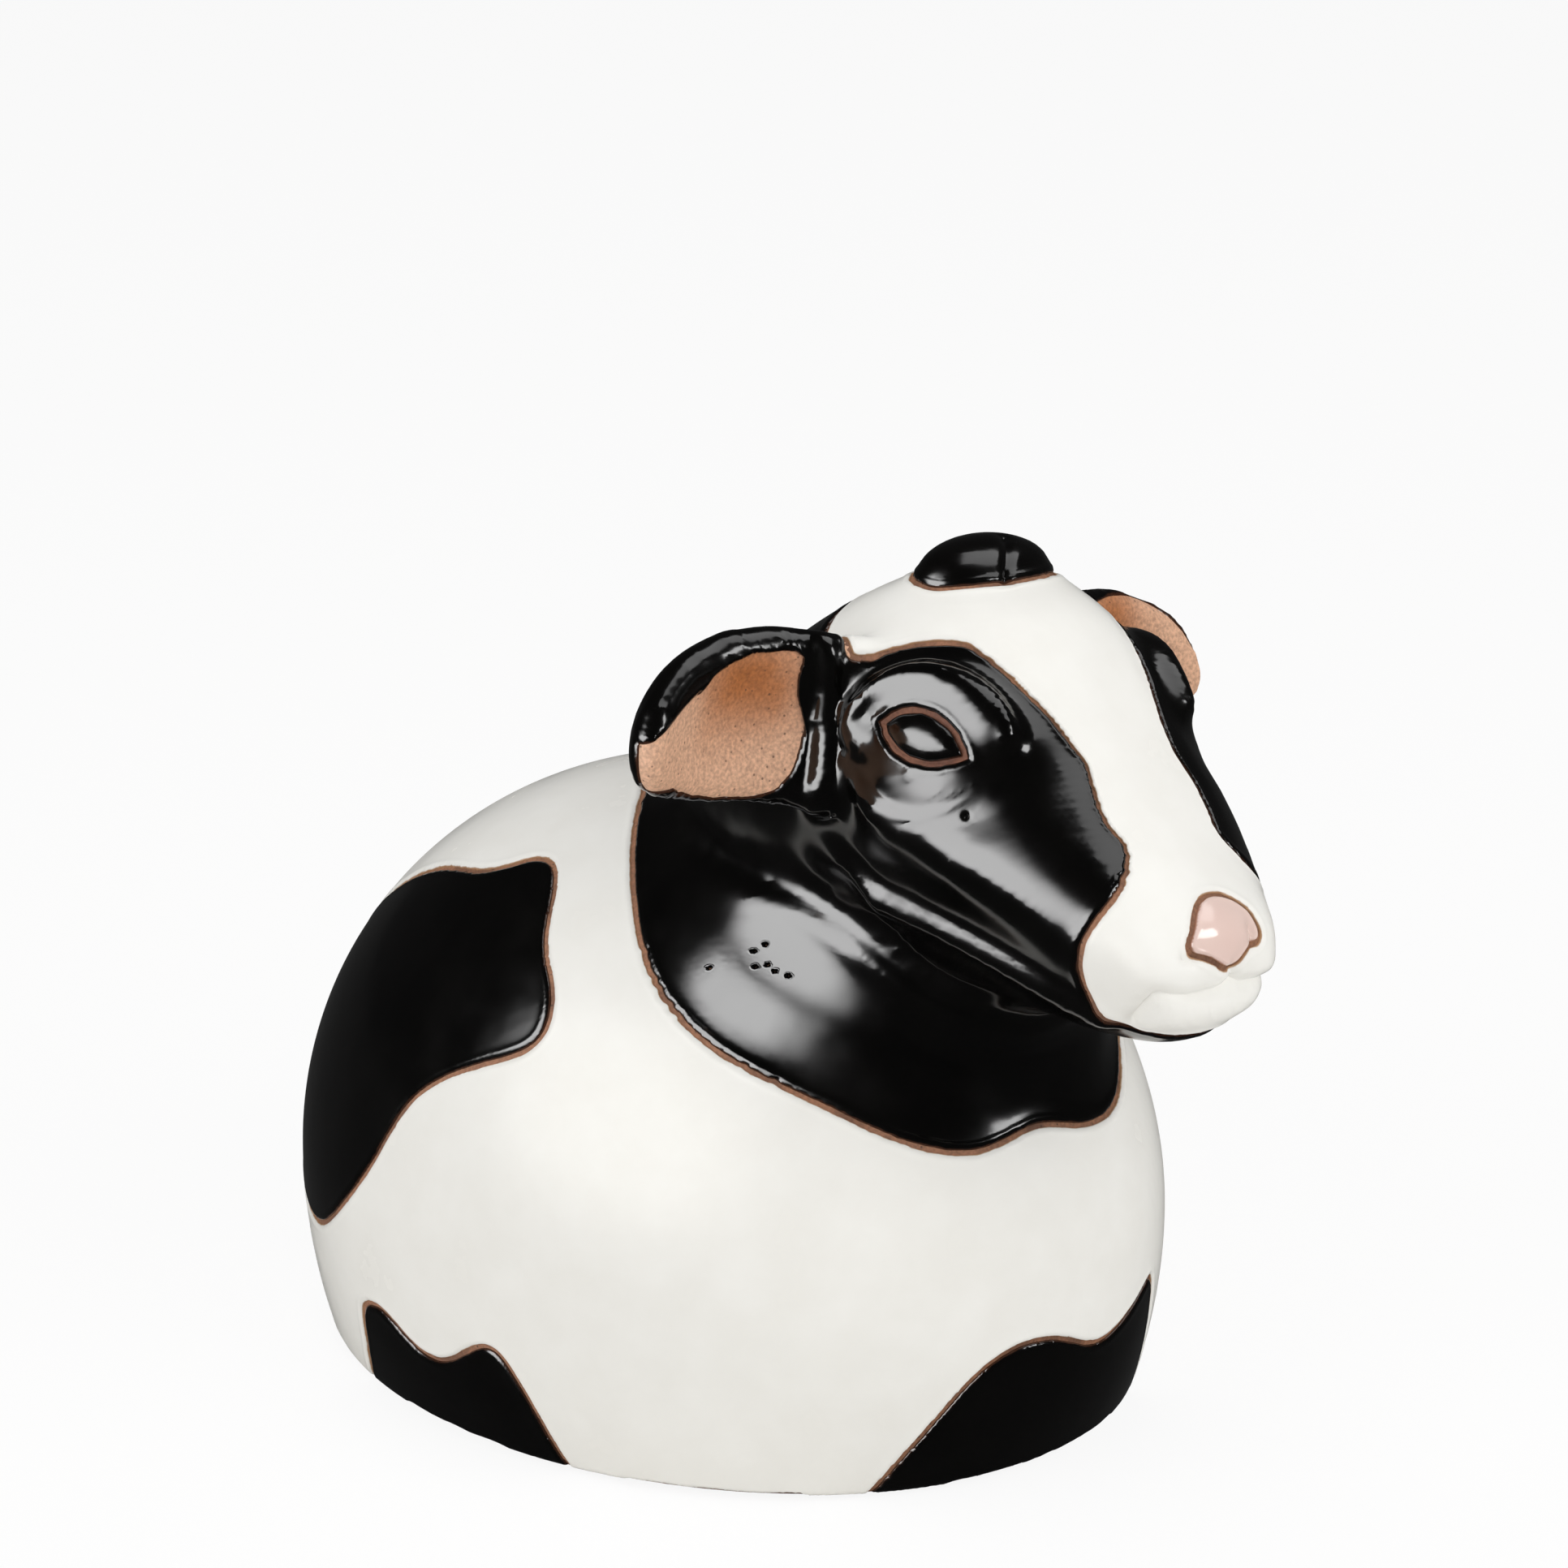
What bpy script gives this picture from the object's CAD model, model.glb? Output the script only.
# %% [markdown]
# # A glazed red clay cow
# This file dresses a CAD cow in Blender. The real figure is hand-built pottery: a hollow ball of red clay
# with a head luted on top, then poured coats of white, black and pink glaze with a line of bare clay left
# between two colours. The CAD parts give every size and place, so the script reads them and never moves
# them.

# %% Load the CAD frame
import math

import bmesh
import bpy
import numpy as np
from mathutils import Matrix, Vector, noise
from mathutils.bvhtree import BVHTree
from mathutils.kdtree import KDTree


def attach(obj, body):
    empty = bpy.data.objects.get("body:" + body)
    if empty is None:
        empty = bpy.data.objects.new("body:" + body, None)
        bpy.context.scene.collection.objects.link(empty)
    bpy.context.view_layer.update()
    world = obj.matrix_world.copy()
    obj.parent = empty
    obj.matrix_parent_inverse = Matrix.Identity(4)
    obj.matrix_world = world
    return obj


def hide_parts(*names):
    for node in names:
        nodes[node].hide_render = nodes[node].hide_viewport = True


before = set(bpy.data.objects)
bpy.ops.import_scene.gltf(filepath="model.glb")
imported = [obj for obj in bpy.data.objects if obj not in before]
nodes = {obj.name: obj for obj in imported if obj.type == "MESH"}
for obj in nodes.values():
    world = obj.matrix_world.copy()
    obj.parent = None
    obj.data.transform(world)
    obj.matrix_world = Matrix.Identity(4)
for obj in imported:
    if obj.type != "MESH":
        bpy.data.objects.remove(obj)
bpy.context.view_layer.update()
MM = 0.001

# %% [markdown]
# ## The camera
# The photograph looks at the cow's right side, 35 degrees round towards its face and 22.6 degrees down,
# from far away with a long lens. A far camera keeps the ball round. The camera aims a little above and
# behind the cow, so that it stands low and left in the frame as it does in the photograph, with no lens
# shift.

# %% Camera
PHOTO_SIDE = 1932
AZIMUTH, ELEVATION = math.radians(35), math.radians(22.6)
DISTANCE = 1.5
PIXELS_PER_MM = 5.319
AIM_PIXEL = (897, 1206)
SENSOR_WIDTH = 36
aim = Vector((0, 0, 0.090))
back = Vector((math.sin(AZIMUTH) * math.cos(ELEVATION), -math.cos(AZIMUTH) * math.cos(ELEVATION),
               math.sin(ELEVATION)))
right = Vector((math.cos(AZIMUTH), math.sin(AZIMUTH), 0))
up = back.cross(right)
lens = bpy.data.cameras.new("camera")
lens.sensor_width = SENSOR_WIDTH
lens.lens = PIXELS_PER_MM * DISTANCE / MM * SENSOR_WIDTH / PHOTO_SIDE
lens.clip_end = 20
camera = bpy.data.objects.new("camera", lens)
bpy.context.collection.objects.link(camera)
camera.location = aim + back * DISTANCE
off_x = (PHOTO_SIDE / 2 - AIM_PIXEL[0]) / PIXELS_PER_MM * MM
off_y = (AIM_PIXEL[1] - PHOTO_SIDE / 2) / PIXELS_PER_MM * MM
look_at = aim + right * off_x + up * off_y
camera.rotation_euler = (look_at - camera.location).to_track_quat("-Z", "Y").to_euler()
bpy.context.scene.camera = camera
print("lens", round(lens.lens, 1), "mm")

# %% [markdown]
# ## Two helpers for materials
# Every material below is made of nodes. One function turns an sRGB hex colour, as a colour picker shows it,
# into the linear light that Blender's shaders count in. The other adds a node, sets its values and links
# its inputs in one call, so that a material reads as a short list.

# %% One function for colours, one for nodes
def srgb(code):
    """An sRGB hex colour as linear light, with alpha."""
    parts = [int(code[i:i + 2], 16) / 255 for i in (1, 3, 5)]
    return [p / 12.92 if p <= 0.04045 else ((p + 0.055) / 1.055) ** 2.4 for p in parts] + [1.0]


def add(tree, kind, inputs=None, **options):
    """Adds a node. A socket among the inputs is linked, any other value is set."""
    made = tree.nodes.new(kind)
    for name, value in options.items():
        setattr(made, name, value)
    for key, value in (inputs or {}).items():
        if isinstance(value, bpy.types.NodeSocket):
            tree.links.new(value, made.inputs[key])
        else:
            made.inputs[key].default_value = value
    return made


print("middle grey as linear light:", [round(v, 3) for v in srgb("#808080")])

# %% [markdown]
# ## The floor and the room
# The cow stands on white paper in a white room. Black glaze mirrors all of that, yet in the photograph it
# stays mostly black. A Light Path node tells rays apart, so paper and room are white to the camera, dark in
# reflections, and plain paper to soft light, which keeps the faint shadow under the cow.

# %% Floor
FLOOR_HALF = 9
PAPER_SEEN, PAPER_MIRRORED = 0.9, 0.04
WHITE = (1, 1, 1, 1)

floor_corners = [(x * FLOOR_HALF, y * FLOOR_HALF, 0) for x, y in ((-1, -1), (1, -1), (1, 1), (-1, 1))]
floor_mesh = bpy.data.meshes.new("studio_floor")
floor_mesh.from_pydata(floor_corners, [], [(0, 1, 2, 3)])
studio_floor = bpy.data.objects.new("studio_floor", floor_mesh)
bpy.context.collection.objects.link(studio_floor)
paper = bpy.data.materials.new("white_studio_paper")
paper.use_nodes = True
tree = paper.node_tree
tree.nodes.clear()
sheet = add(tree, "ShaderNodeBsdfDiffuse", {"Color": srgb("#F4F3F1")}).outputs[0]
bright = add(tree, "ShaderNodeEmission", {"Color": WHITE, "Strength": 1.0}).outputs[0]
dim = add(tree, "ShaderNodeEmission", {"Color": WHITE, "Strength": PAPER_MIRRORED}).outputs[0]
ray = add(tree, "ShaderNodeLightPath").outputs
seen = add(tree, "ShaderNodeMath", {0: ray["Is Camera Ray"], 1: PAPER_SEEN}, operation="MULTIPLY")
mixed = add(tree, "ShaderNodeMixShader", {0: seen.outputs[0], 1: sheet, 2: bright})
mixed = add(tree, "ShaderNodeMixShader", {0: ray["Is Glossy Ray"], 1: mixed.outputs[0], 2: dim})
add(tree, "ShaderNodeOutputMaterial", {"Surface": mixed.outputs[0]})
floor_mesh.materials.append(paper)
print("floor:", 2 * FLOOR_HALF, "m wide,", paper.name)

# %% Room
ROOM_TINT = (0.9, 0.9, 0.92, 1)
ROOM_LIGHT, ROOM_MIRRORED = 0.40, 0.03

world = bpy.data.worlds.new("studio_room")
bpy.context.scene.world = world
world.use_nodes = True
tree = world.node_tree
tree.nodes.clear()
room = add(tree, "ShaderNodeBackground", {"Color": ROOM_TINT, "Strength": ROOM_LIGHT}).outputs[0]
dark = add(tree, "ShaderNodeBackground", {"Color": ROOM_TINT, "Strength": ROOM_MIRRORED}).outputs[0]
wall = add(tree, "ShaderNodeBackground", {"Color": WHITE, "Strength": 1.0}).outputs[0]
ray = add(tree, "ShaderNodeLightPath").outputs
mixed = add(tree, "ShaderNodeMixShader", {0: ray["Is Glossy Ray"], 1: room, 2: dark})
mixed = add(tree, "ShaderNodeMixShader", {0: ray["Is Camera Ray"], 1: mixed.outputs[0], 2: wall})
add(tree, "ShaderNodeOutputWorld", {"Surface": mixed.outputs[0]})
bpy.context.scene.view_settings.view_transform = "Standard"
print("room light", ROOM_LIGHT, "and", ROOM_MIRRORED, "in reflections")

# %% [markdown]
# ## The lamps
# Glaze is read by its reflections, so the lamps that show in it are set apart from those that light its
# colours. The key is a big soft box up to the left: seven ellipses of light inside each other, faint
# outside and bright inside, as cloth over a lamp is. Lamps in one plane hide each other from a reflection,
# so each stands a little nearer to the cow. Two small windows give the glints on the hair knob and the
# nose. Three panels light the colours alone.

# %% Lamps
KEY_AT, KEY_SIZE = (-0.73, 0.40, 0.73), (1.60, 1.35)
KEY_GLOW = (0.6, 1.2, 1.8, 2.4, 2.4, 1.8, 1.2)
KEY_NARROWER, KEY_NEARER, KEY_POWER = 0.08, 0.01, 2.47
OTHER_LAMPS = [
    # name, place from the camera's side, width, watts and what the lamp does
    ("tuft_window", (0.68, 1.09, -0.18), 0.90, 5.6, "glossy"),
    ("nose_window", (1.10, 0.42, 0.42), 0.30, 3.0, "glossy"),
    ("left_panel", (-0.95, 0.55, 0.65), 0.90, 6.5, "diffuse"),
    ("right_panel", (0.95, 0.60, 0.65), 0.90, 8.0, "diffuse"),
    ("top_panel", (0.0, 1.30, 0.10), 0.90, 4.5, "diffuse"),
]


def from_camera(side, rise, near):
    """A place as the photographer sees it: to the right, up and towards the camera, in metres."""
    ahead = Vector((back.x, back.y, 0)).normalized()
    return aim + right * side + Vector((0, 0, rise)) + ahead * near


def soft_lamp(name, place, size, power, lights):
    """A lamp that only shows in reflections, or one that only lights the colours."""
    lamp = bpy.data.lights.new(name, "AREA")
    lamp.shape = "ELLIPSE" if "softbox" in name else "RECTANGLE"
    lamp.size, lamp.size_y = size
    lamp.energy = power
    holder = bpy.data.objects.new(name, lamp)
    bpy.context.collection.objects.link(holder)
    holder.location = place
    holder.rotation_euler = (aim - place).to_track_quat("-Z", "Y").to_euler()
    holder.visible_diffuse, holder.visible_glossy = lights == "diffuse", lights == "glossy"


for step, glow in enumerate(KEY_GLOW):
    share = 1 - KEY_NARROWER * step
    wide, high = KEY_SIZE[0] * share, KEY_SIZE[1] * share
    place = from_camera(*KEY_AT).lerp(aim, KEY_NEARER * step)
    soft_lamp("key_softbox", place, (wide, high), glow * KEY_POWER * wide * high, "glossy")
for name, place, wide, power, lights in OTHER_LAMPS:
    soft_lamp(name, from_camera(*place), (wide, wide), power, lights)

# %% [markdown]
# ## The clay
# The potter joins the ball, head, ears, lids, hair knob and tail and smooths the joins with a wet finger.
# Booleans would leave sharp seams. Blender's voxel remesh does what the finger does: it fuses the CAD
# solids into one skin of even quads. A plug in the firing vent keeps the remesh from wrapping the inside of
# the hollow ball.

# %% Fuse the clay
CLAY_NODES = ["body_shell", "head_shell", "ear_right", "ear_left", "poll_tuft", "tail", "eyelid_right",
              "eyelid_left", "eyeball_right", "eyeball_left"]
VOXEL = 1.25 * MM
VENT_AT, VENT_RADIUS = Vector((-0.025, 0, 0)), 6 * MM
PLUG_RISE, PLUG_LONG, PLUG_OVER = 0.006, 0.010, 1.1


def fused_clay():
    """One closed skin round all the clay pieces, as points and triangles."""
    joined = bmesh.new()
    for name in CLAY_NODES:
        joined.from_mesh(nodes[name].data)
    plug = Matrix.Translation(VENT_AT + Vector((0, 0, PLUG_RISE)))
    wide = VENT_RADIUS * PLUG_OVER
    bmesh.ops.create_cone(joined, cap_ends=True, segments=32, radius1=wide, radius2=wide, depth=PLUG_LONG,
                          matrix=plug)
    mesh = bpy.data.meshes.new("fused_clay")
    joined.to_mesh(mesh)
    joined.free()
    holder = bpy.data.objects.new("fused_clay", mesh)
    bpy.context.collection.objects.link(holder)
    remesh = holder.modifiers.new("wet_finger", "REMESH")
    remesh.mode = "VOXEL"
    remesh.voxel_size = VOXEL
    skin = bpy.data.meshes.new_from_object(holder.evaluated_get(bpy.context.evaluated_depsgraph_get()))
    bpy.data.objects.remove(holder)
    skin.calc_loop_triangles()
    places = np.empty(len(skin.vertices) * 3)
    skin.vertices.foreach_get("co", places)
    faces = np.empty(len(skin.loop_triangles) * 3, dtype=np.int64)
    skin.loop_triangles.foreach_get("vertices", faces)
    return places.reshape(-1, 3), faces.reshape(-1, 3)


points, faces = fused_clay()
print("fused clay:", len(points), "points,", len(faces), "triangles")

# %% [markdown]
# ## Normals and the sponge
# The fused skin is kept as plain tables, points and triangles, because a potter's tools are easy to write
# for those. A wet sponge takes off what stands out: each round moves a point towards the middle of its
# neighbours, by a weight that says where the sponge goes. A sponge that also pushes back out keeps the
# volume.

# %% Normals, slope and sponge
PULL, PUSH_BACK = 0.5, 0.52


def at_corners(values, faces, count):
    """Adds up a value of every triangle at its three corners."""
    return sum(np.bincount(faces[:, k], values, count) for k in range(3))


def skin_normals(points, faces):
    """The direction out of the clay at every point."""
    corner = points[faces]
    cross = np.cross(corner[:, 1] - corner[:, 0], corner[:, 2] - corner[:, 0])
    total = np.stack([at_corners(cross[:, axis], faces, len(points)) for axis in range(3)], 1)
    return total / np.maximum(np.linalg.norm(total, axis=1, keepdims=True), 1e-20)


def skin_edges(faces):
    """The edges of the triangles, and for every triangle which three are its own."""
    pairs = np.sort(np.concatenate([faces[:, [0, 1]], faces[:, [1, 2]], faces[:, [2, 0]]]), axis=1)
    key, turned = np.unique(pairs[:, 0] * (1 << 32) + pairs[:, 1], return_inverse=True)
    return np.stack([key >> 32, key & 0xFFFFFFFF], 1), turned.reshape(3, -1).T


def slope_of(values, points, faces):
    """How fast a field changes along the skin, per metre."""
    a, b, c = points[faces].transpose(1, 0, 2)
    normal = np.cross(b - a, c - a)
    area = np.maximum(np.linalg.norm(normal, axis=1, keepdims=True), 1e-14)
    first, second = (values[faces[:, k]] - values[faces[:, 0]] for k in (1, 2))
    steep = np.cross(normal / area, (c - a) * first[:, None] - (b - a) * second[:, None]) * -1
    total = np.stack([at_corners(steep[:, axis], faces, len(points)) for axis in range(3)], 1)
    return np.linalg.norm(total, axis=1) / np.maximum(at_corners(area[:, 0], faces, len(points)), 1e-14)


def sponge(points, faces, weight, rounds, keep=False):
    """Relaxes points, or any fields on them, by a weight each round. With keep it pushes back out as well."""
    edges, _ = skin_edges(faces[(weight > 0)[faces].any(1)])
    count = np.maximum(np.bincount(edges.ravel(), minlength=len(points)), 1)[:, None]
    for step in range(rounds):
        for pull in ([PULL, -PUSH_BACK] if keep else [PULL]):
            total = np.stack([np.bincount(edges[:, 0], row[edges[:, 1]], len(row))
                              + np.bincount(edges[:, 1], row[edges[:, 0]], len(row)) for row in points.T], 1)
            points = points + (total / count - points) * (pull * weight)[:, None]
    return points


print("edges of the fused clay:", len(skin_edges(faces)[0]))

# %% [markdown]
# ## The knife
# A skin of 1.25 mm triangles is too coarse for an eye and for the edge of a glaze. One function splits
# chosen edges. Halving the edges of some triangles refines the skin there, and splitting edges where a
# field crosses a level cuts the skin along that line. Every column of the table, place and fields alike, is
# carried over to the new points.

# %% Split, refine and cut
SNAP = 0.02 * MM


def split_edges(table, faces, edges, of_face, chosen, share):
    """Adds a point on each chosen edge, at its share of the way, and cuts the triangles that meet it."""
    new_id = np.full(len(edges), -1)
    new_id[chosen] = len(table) + np.arange(len(chosen))
    first, second = table[edges[chosen, 0]], table[edges[chosen, 1]]
    table = np.concatenate([table, first + (second - first) * share[:, None]])
    middle = new_id[of_face]
    hits = (middle >= 0).sum(1)
    made = [faces[hits == 0]]
    for turn in range(3):
        corner, mid = np.roll(faces, -turn, axis=1), np.roll(middle, -turn, axis=1)
        a, b, c = corner.T
        ab, bc, ca = mid.T
        one = (hits == 1) & (ab >= 0)
        made += [np.stack(t, 1)[one] for t in ((a, ab, c), (ab, b, c))]
        two = (hits == 2) & (ca < 0)
        made += [np.stack(t, 1)[two] for t in ((ab, b, bc), (a, ab, bc), (a, bc, c))]
    a, b, c = faces.T
    ab, bc, ca = middle.T
    made += [np.stack(t, 1)[hits == 3] for t in ((a, ab, ca), (ab, b, bc), (ca, bc, c), (ab, bc, ca))]
    return table, np.concatenate(made)


def refine(table, faces, wanted):
    """Halves every edge of the triangles that have a wanted point."""
    edges, of_face = skin_edges(faces)
    chosen = np.unique(of_face[wanted[faces].any(1)])
    return split_edges(table, faces, edges, of_face, chosen, np.full(len(chosen), 0.5))


def cut(table, faces, column, level):
    """Cuts the skin along the line where a field has this level."""
    table[np.abs(table[:, column] - level) < SNAP, column] = level
    edges, of_face = skin_edges(faces)
    low, high = table[edges[:, 0], column] - level, table[edges[:, 1], column] - level
    chosen = np.flatnonzero(low * high < 0)
    share = low[chosen] / (low[chosen] - high[chosen])
    before = len(table)
    table, faces = split_edges(table, faces, edges, of_face, chosen, share)
    table[before:, column] = level
    return table, faces


print("knife: a cut goes through a point that is within", SNAP / MM, "mm of it")

# %% [markdown]
# ## Measuring on the CAD
# What is done to the clay depends on where it is: on an ear, at the neck, under the bib. The CAD pieces say
# that, so every point is measured to them with Blender's BVH tree, which finds the nearest place of a mesh
# quickly. The head has a frame of its own, turned and tilted as the CAD head is, with x towards the nose
# and y to the cow's left.

# %% Head frame, distances and fades
HEAD_AT, HEAD_TURN, HEAD_TILT = Vector((0.0551, 0, 0.1651)), -10, -8
SEARCH = 0.03
head_frame = (Matrix.Translation(HEAD_AT) @ Matrix.Rotation(math.radians(HEAD_TURN), 4, "Z")
              @ Matrix.Rotation(math.radians(HEAD_TILT), 4, "X"))


def in_head(points):
    """The points in the head's own frame, in millimetres."""
    turn = head_frame.inverted()
    return np.array([turn @ Vector(p) for p in points]) / MM


def tree_of(*names):
    """A search tree of some CAD nodes."""
    joined = bmesh.new()
    for name in names:
        joined.from_mesh(nodes[name].data)
    bmesh.ops.remove_doubles(joined, verts=joined.verts, dist=1e-6)
    made = BVHTree.FromBMesh(joined)
    joined.free()
    return made


def distance_to(tree, points, reach=SEARCH):
    """The distance of every point to the nearest place of a tree, no more than the reach."""
    found = np.full(len(points), reach)
    for i, place in enumerate(points):
        hit = tree.find_nearest(place, reach)
        if hit[0] is not None:
            found[i] = hit[3]
    return found


def fade(value, near, far):
    """One where the value is near or less, zero at far or more, with a smooth change between."""
    t = np.clip((far - value) / (far - near), 0, 1)
    return t * t * (3 - 2 * t)


to_body = distance_to(tree_of("body_shell"), points)
to_head = distance_to(tree_of("head_shell"), points)
to_ears = distance_to(tree_of("ear_right", "ear_left"), points)
to_bib = distance_to(tree_of("bib_black_glaze"), points)
print("points on the ears:", int((to_ears < VOXEL).sum()), "and under the bib:", int((to_bib < VOXEL).sum()))

# %% [markdown]
# ## Smoothing the joins
# The sponge goes over everything lightly, to take off the voxel steps, and then works where two pieces
# meet: hard round the neck, lightly at the roots of the ears, long on the collar where head and ball become
# one. Thin ears lose thickness under a sponge, so they are filled out again. The skin from before the joins
# is kept beside the new one, because the glaze edges are measured on it.

# %% Sponge the joins
ALL_OVER, LAST_OVER = 6, 4
NECK_ROUNDS, HEAD_ROUNDS, COLLAR_ROUNDS, JAW_ROUNDS = 120, 40, 400, 60
EAR_ROOT_SHARE, EAR_ROUNDS, EAR_FILL, EAR_LAST = 0.4, 60, 1.9 * MM, 12

neck = fade(np.maximum(to_body, to_head), 3 * MM, 13 * MM)
collar = fade(to_bib, 0.9 * MM, 1.5 * MM) * fade(-to_head, -5 * MM, 0)
ear_root = fade(np.maximum(to_ears, to_head), 1 * MM, 5 * MM)
on_ear, on_head = (fade(apart, 0.6 * MM, 2.5 * MM) for apart in (to_ears, to_head))
jaw_line = fade(np.abs(to_head - 3 * MM), 2 * MM, 9 * MM) * fade(to_bib, 3 * MM, 8 * MM)
everywhere = np.ones(len(points))

points = sponge(points, faces, everywhere, ALL_OVER, keep=True)
unjoined = points.copy()
points = sponge(points, faces, np.maximum(neck, ear_root * EAR_ROOT_SHARE), NECK_ROUNDS)
points = sponge(points, faces, on_ear, EAR_ROUNDS)
points = points + skin_normals(points, faces) * (EAR_FILL * on_ear)[:, None]
points = sponge(points, faces, on_ear, EAR_LAST)
points = sponge(points, faces, on_head, HEAD_ROUNDS)
points = sponge(points, faces, collar, COLLAR_ROUNDS)
points = sponge(points, faces, jaw_line, JAW_ROUNDS)
points = sponge(points, faces, everywhere, LAST_OVER, keep=True)
skin = np.concatenate([points, unjoined], axis=1)
print("sponged joins:", int((neck > 0.5).sum()), "points at the neck and", int((ear_root > 0.5).sum()),
      "at the ears")

# %% [markdown]
# ## The eyes
# Each eye is a swollen lid, a scratched almond of bare clay and a glossy black ball inside it. The CAD ring
# gives the place, and its longest and shortest directions give the slant and the way the eye looks. The
# almond is then turned a little flatter and set a little forward and down, as the photograph shows it. An
# almond is where two circles overlap, so the distance to its edge is the larger of the distances to the two
# circles. All of the eye is worked out from that one distance.

# %% Almond of an eye
ALMOND_LONG, ALMOND_TOP, ALMOND_LOW = 11.2 * MM, 6.5 * MM, 5.4 * MM
ALMOND_TURN = math.radians(12)
ALMOND_SHIFT = (1.2 * MM, -1.2 * MM)
EYE_DEEP = 15 * MM
BEHIND_EYES = Vector((0.030, 0, 0))


def eye_frame(side):
    """The middle of an eye and its directions: along the almond, across it and the way it looks."""
    ring = np.array([v.co for v in nodes["eyelid_" + side].data.vertices])
    middle = ring.mean(0)
    long, high, look = np.linalg.svd(ring - middle, full_matrices=False)[2]
    outward = middle - np.array(head_frame @ BEHIND_EYES)
    look = look * np.sign(look @ outward)
    long = long * np.sign(long[0])
    high = high * np.sign(high[2])
    flat, steep = math.cos(ALMOND_TURN), math.sin(ALMOND_TURN)
    long, high = long * flat + high * steep, high * flat - long * steep
    return middle + long * ALMOND_SHIFT[0] + high * ALMOND_SHIFT[1], long, high, look


def almond(points, eye):
    """Distance out from the almond's edge, which points are at the eye, and where they are on it."""
    middle, long, high, look = eye
    u, v, w = ((points - middle) @ axis for axis in (long, high, look))
    far = []
    for rise, sign in ((ALMOND_TOP, 1), (ALMOND_LOW, -1)):
        radius = (ALMOND_LONG ** 2 + rise ** 2) / (2 * rise)
        far.append(np.hypot(u, v + sign * (radius - rise)) - radius)
    return np.maximum(*far), np.abs(w) < EYE_DEEP, u, v


eyes = {side: eye_frame(side) for side in ("right", "left")}
print("eyes at", {side: [round(c / MM, 1) for c in eye[0]] for side, eye in eyes.items()}, "mm")

# %% [markdown]
# The lid is a soft roll round the almond, full above and behind the eye and nearly flat below it towards
# the nose. The hollow inside it and the scratched line are pressed in after that, the scratch last, so that
# the sponge doesn't close it.

# %% Lids, hollows and scratches
RING_WIDE = 1.2 * MM
SETTLE_ROUNDS, SETTLE_SHARE = 70, 0.7
LID_HIGH, LID_FROM_EDGE, LID_WIDE, LID_LEAST, LID_ROUNDS = 3.9 * MM, 6.3 * MM, 3.2 * MM, 0.1, 22
HOLLOW_DEEP = 0.9 * MM
SCRATCH_DEEP, SCRATCH_WIDE = 0.35 * MM, 0.3 * MM

for side, eye in eyes.items():
    edge, beside, u, v = almond(skin[:, :3], eye)
    settle = fade(edge, 12 * MM, 20 * MM) * beside * SETTLE_SHARE
    skin[:, :3] = sponge(skin[:, :3], faces, settle, SETTLE_ROUNDS)
    edge, beside, u, v = almond(skin[:, :3], eye)
    skin, faces = refine(skin, faces, (edge < 11 * MM) & beside)
    edge, beside, u, v = almond(skin[:, :3], eye)
    out = skin_normals(skin[:, :3], faces)
    above = LID_LEAST + (1 - LID_LEAST) * fade(0.4 * u - v, -3 * MM, 6 * MM)
    lid = LID_HIGH * np.exp(-((edge - LID_FROM_EDGE) / LID_WIDE) ** 2) * above
    hollow = -HOLLOW_DEEP * fade(edge, -1.5 * MM, 1.5 * MM)
    scratch = -SCRATCH_DEEP * np.exp(-((edge + RING_WIDE * 0.5) / SCRATCH_WIDE) ** 2)
    skin[:, :3] += out * ((lid + hollow) * beside)[:, None]
    on_lid = fade(np.abs(edge - 7 * MM), 6 * MM, 7 * MM) * beside
    skin[:, :3] = sponge(skin[:, :3], faces, on_lid, LID_ROUNDS)
    skin[:, :3] += out * (scratch * beside)[:, None]
    print(side, "lid:", int((on_lid > 0.5).sum()), "points")

# %% [markdown]
# ## The potter's strokes
# Cheek bones, jaw, lips, nostrils and neck creases were drawn in the soft clay with a finger or a wooden
# tool. A stroke here is the same: a few points in the head's frame with a width and a height, above zero
# for a ridge of added clay and below zero for a groove. A pair of heights fades from the start of a stroke
# to its end. Sculpt brushes would do this by hand, and a list of strokes does it the same way every time.

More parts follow.
